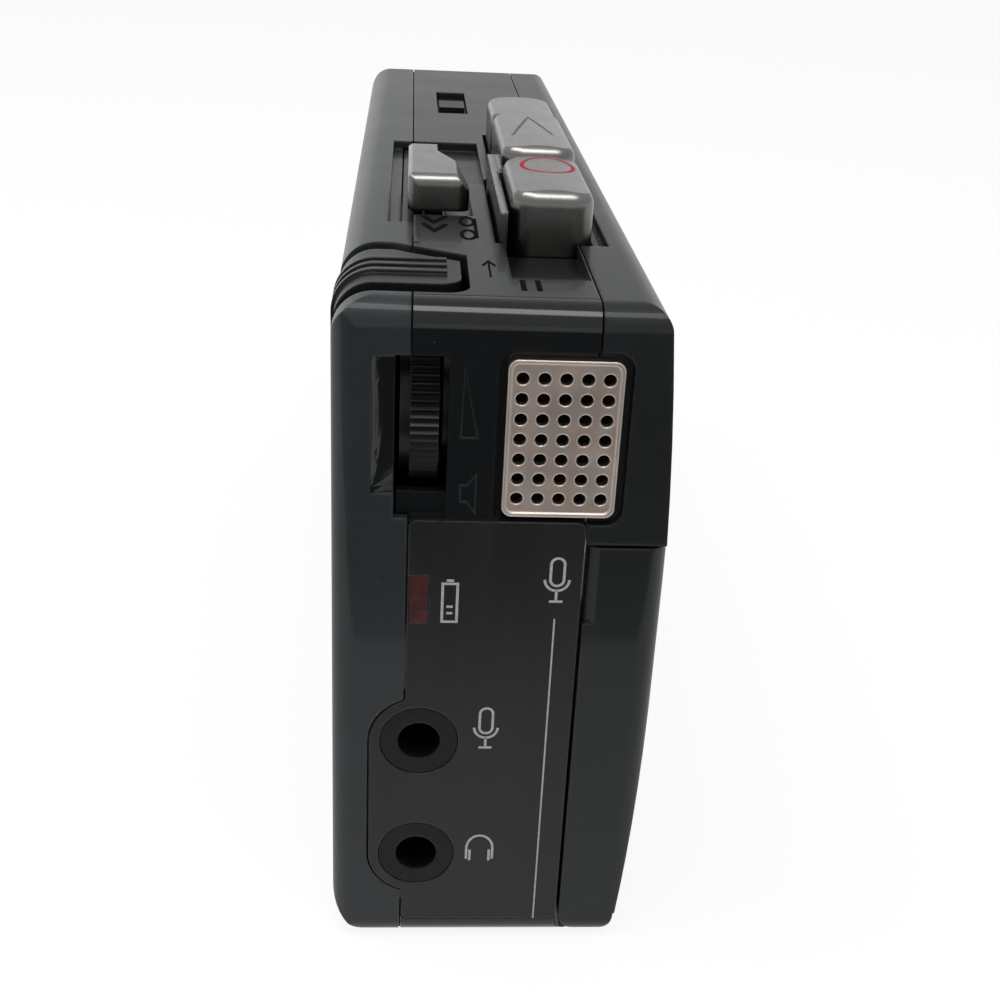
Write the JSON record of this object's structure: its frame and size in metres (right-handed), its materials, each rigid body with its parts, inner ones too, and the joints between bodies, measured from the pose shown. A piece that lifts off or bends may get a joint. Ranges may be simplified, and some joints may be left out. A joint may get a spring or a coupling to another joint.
{
  "type": "microcassette recorder",
  "caption": "Handheld microcassette recorder with a row of plated transport keys, sliding levers, a thumb wheel, microphone grille, plug jacks, hinged cassette lid and battery door.",
  "frame": {"origin": "centre of the overall box in plan, on the underside that the recorder lies on", "axes": "+X from the back face to the cassette lid, +Y from the jack end to the far end, +Z from the underside to the keys"},
  "size_m": [0.0274, 0.118, 0.065],
  "materials": {
    "case_plastic": "fine moulded grain, dark grey",
    "panel_plastic": "satin dark grey, printed",
    "plated": "worn satin plating",
    "grille_metal": "warm satin plating",
    "steel": "stamped",
    "brass": "turned",
    "black_plastic": "moulded",
    "rubber": "matt",
    "clear": "smoked, gloss",
    "lamp_red": "tinted lens",
    "board": "coated laminate",
    "paper": "pressed paper",
    "digit_plastic": "moulded white"
  },
  "bodies": {
    "case": {"rear_cabinet": "case_plastic", "front_cabinet": "case_plastic", "end_panel": "case_plastic", "end_plate": "panel_plastic", "control_panel": "case_plastic", "centre_frame": "case_plastic", "case_screws": "steel", "mic_grille": "grille_metal", "mic_capsule": "steel", "mic_jack": "black_plastic", "earphone_jack": "black_plastic", "battery_lamp": "lamp_red", "volume_control": "steel", "speed_switch_body": "steel", "lid_hinge_pins": "steel", "mechanism_plate": "steel", "motor": "steel", "drive_belt": "rubber", "circuit_board": "board", "battery_box": "black_plastic", "battery_contacts": "steel", "speaker": "steel", "speaker_cone": "paper", "counter_frame": "black_plastic", "counter_window": "clear"},
    "volume": {"volume_wheel": "black_plastic"},
    "record": {"record_key": "plated"},
    "play": {"play_key": "plated"},
    "stop": {"stop_key": "plated"},
    "cue_review": {"cue_review_lever": "plated"},
    "pause": {"pause_slider": "black_plastic"},
    "speed": {"speed_switch": "black_plastic"},
    "lid": {"cassette_lid": "case_plastic", "lid_window": "clear"},
    "supply_reel": {"supply_spindle": "black_plastic"},
    "take_up_reel": {"take_up_spindle": "black_plastic"},
    "drive": {"capstan": "steel", "flywheel": "brass"},
    "motor_rotor": {"motor_pulley": "brass"},
    "carriage": {"head_carriage": "steel", "tape_head": "steel", "erase_head": "black_plastic"},
    "roller": {"pinch_roller": "rubber"},
    "door": {"battery_door": "case_plastic"},
    "units": {"counter_units": "digit_plastic"},
    "tens": {"counter_tens": "digit_plastic"},
    "hundreds": {"counter_hundreds": "digit_plastic"},
    "reset": {"counter_reset": "black_plastic"}
  },
  "joints": [
    {"name": "record_press", "type": "slide", "parent": "case", "child": "record", "axis": [0, 0, -1], "range_m": [0, 0.003], "stiffness_N_per_m": 300},
    {"name": "play_press", "type": "slide", "parent": "case", "child": "play", "axis": [0, 0, -1], "range_m": [0, 0.003], "stiffness_N_per_m": 300},
    {"name": "stop_press", "type": "slide", "parent": "case", "child": "stop", "axis": [0, 0, -1], "range_m": [0, 0.003], "stiffness_N_per_m": 300},
    {"name": "cue_review_slide", "type": "slide", "parent": "case", "child": "cue_review", "axis": [0, 1, 0], "range_m": [-0.004, 0.004], "stiffness_N_per_m": 150},
    {"name": "pause_slide", "type": "slide", "parent": "case", "child": "pause", "axis": [0, 1, 0], "range_m": [0, 0.002]},
    {"name": "speed_slide", "type": "slide", "parent": "case", "child": "speed", "axis": [0, 1, 0], "range_m": [0, 0.003]},
    {"name": "volume_turn", "type": "hinge", "parent": "case", "child": "volume", "pos_m": [-0.00643, -0.05205, 0.0502], "axis": [1, 0, 0], "range_deg": [-135, 135]},
    {"name": "lid_hinge", "type": "hinge", "parent": "case", "child": "lid", "pos_m": [0.00939, -0.026, 0.0027], "axis": [0, 1, 0], "range_deg": [0, 70]},
    {"name": "battery_door_slide", "type": "slide", "parent": "case", "child": "door", "axis": [0, 1, 0], "range_m": [0, 0.052]},
    {"name": "flywheel_spin", "type": "hinge", "parent": "case", "child": "drive", "pos_m": [-0.00143, -0.0154, 0.033], "axis": [1, 0, 0], "continuous": true},
    {"name": "motor_spin", "type": "hinge", "parent": "case", "child": "motor_rotor", "pos_m": [-0.00343, -0.0049, 0.0465], "axis": [1, 0, 0], "continuous": true},
    {"name": "take_up_spin", "type": "hinge", "parent": "case", "child": "take_up_reel", "pos_m": [0.00057, -0.0164, 0.02054], "axis": [1, 0, 0], "continuous": true},
    {"name": "supply_spin", "type": "hinge", "parent": "case", "child": "supply_reel", "pos_m": [0.00057, -0.0386, 0.02054], "axis": [1, 0, 0], "continuous": true},
    {"name": "carriage_slide", "type": "slide", "parent": "case", "child": "carriage", "axis": [0, 0, -1], "range_m": [0, 0.003]},
    {"name": "roller_spin", "type": "hinge", "parent": "carriage", "child": "roller", "pos_m": [0.00658, -0.0154, 0.04], "axis": [1, 0, 0], "continuous": true},
    {"name": "units_turn", "type": "hinge", "parent": "case", "child": "units", "pos_m": [0.00644, 0.021, 0.048], "axis": [0, 1, 0], "continuous": true},
    {"name": "tens_turn", "type": "hinge", "parent": "case", "child": "tens", "pos_m": [0.00644, 0.021, 0.048], "axis": [0, 1, 0], "continuous": true},
    {"name": "hundreds_turn", "type": "hinge", "parent": "case", "child": "hundreds", "pos_m": [0.00644, 0.021, 0.048], "axis": [0, 1, 0], "continuous": true},
    {"name": "reset_press", "type": "slide", "parent": "case", "child": "reset", "axis": [-1, 0, 0], "range_m": [0, 0.0012], "stiffness_N_per_m": 200}
  ],
  "couplings": [
    {"joint": "carriage_slide", "follows": "play_press", "ratio": 1},
    {"joint": "motor_spin", "follows": "flywheel_spin", "ratio": 4.061},
    {"joint": "take_up_spin", "follows": "flywheel_spin", "ratio": -0.31579},
    {"joint": "units_turn", "follows": "flywheel_spin", "ratio": 0.02},
    {"joint": "tens_turn", "follows": "flywheel_spin", "ratio": 0.002},
    {"joint": "hundreds_turn", "follows": "flywheel_spin", "ratio": 0.0002}
  ]
}
